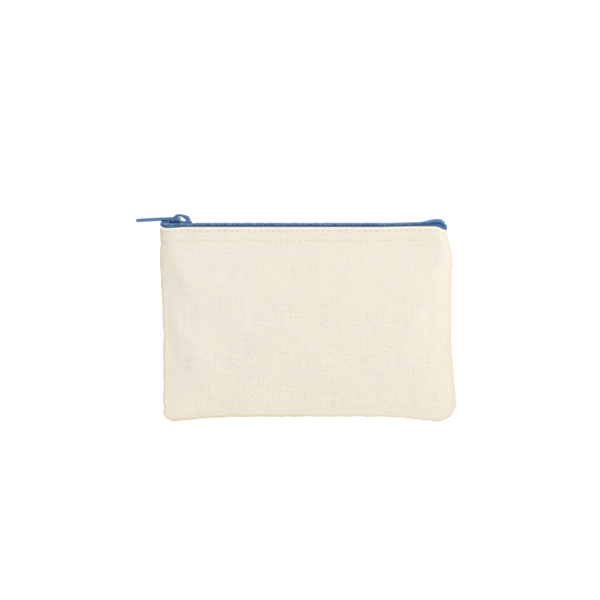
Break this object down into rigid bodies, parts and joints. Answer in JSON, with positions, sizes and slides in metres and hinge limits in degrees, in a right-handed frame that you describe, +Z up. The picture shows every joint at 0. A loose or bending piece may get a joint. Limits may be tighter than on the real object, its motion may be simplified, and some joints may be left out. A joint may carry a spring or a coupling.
{
  "type": "zippered pouch",
  "caption": "Flat rectangular cotton canvas pouch, unlined, closed along its top edge by a coil zip with a cast slider and a long slim pull tab.",
  "frame": {"origin": "middle of the pouch's bottom seam, on the line that it stands on", "axes": "+X along the zip from the closed slider towards the open end, +Y through the thickness from the front panel to the back panel, +Z up from the bottom seam to the zip"},
  "size_m": [0.1801, 0.0146, 0.1181],
  "materials": {
    "canvas": "unbleached cotton twill canvas, matt",
    "zip_tape": "woven polyester tape, dyed blue",
    "zip_coil": "dyed nylon monofilament coil, satin",
    "zip_thread": "dyed polyester thread and filler cord",
    "slider_enamel": "zinc casting with baked blue enamel, semi gloss",
    "seam_thread": "undyed spun sewing thread"
  },
  "bodies": {
    "back_half": {"back_panel": "canvas", "back_tape": "zip_tape", "back_coil": "zip_coil", "back_coil_cord": "zip_thread", "back_coil_thread": "zip_thread", "back_upper_stitch": "seam_thread", "back_lower_stitch": "seam_thread", "left_seam_stitch": "seam_thread", "right_seam_stitch": "seam_thread", "bottom_seam_stitch": "seam_thread", "left_overlock": "seam_thread", "right_overlock": "seam_thread", "bottom_overlock": "seam_thread"},
    "front_half": {"front_panel": "canvas", "front_tape": "zip_tape", "front_coil": "zip_coil", "front_coil_cord": "zip_thread", "front_coil_thread": "zip_thread", "front_upper_stitch": "seam_thread", "front_lower_stitch": "seam_thread"},
    "slider": {"slider_body": "slider_enamel"},
    "pull": {"pull_tab": "slider_enamel"}
  },
  "joints": [
    {"name": "zip_slide", "type": "slide", "parent": "back_half", "child": "slider", "axis": [1, 0, 0], "range_m": [0, 0.133], "deforming": ["front_tape", "back_tape", "front_coil", "back_coil", "front_coil_cord", "back_coil_cord", "front_coil_thread", "back_coil_thread"]},
    {"name": "mouth_open", "type": "hinge", "parent": "back_half", "child": "front_half", "pos_m": [0, 0, 0], "axis": [1, 0, 0], "range_deg": [0, 10]},
    {"name": "pull_flip", "type": "hinge", "parent": "slider", "child": "pull", "pos_m": [-0.07252, 0, 0.11585], "axis": [0, 1, 0], "range_deg": [0, 180]}
  ],
  "couplings": [
    {"joint": "mouth_open", "follows": "zip_slide", "rad_per_m": 1.31}
  ]
}
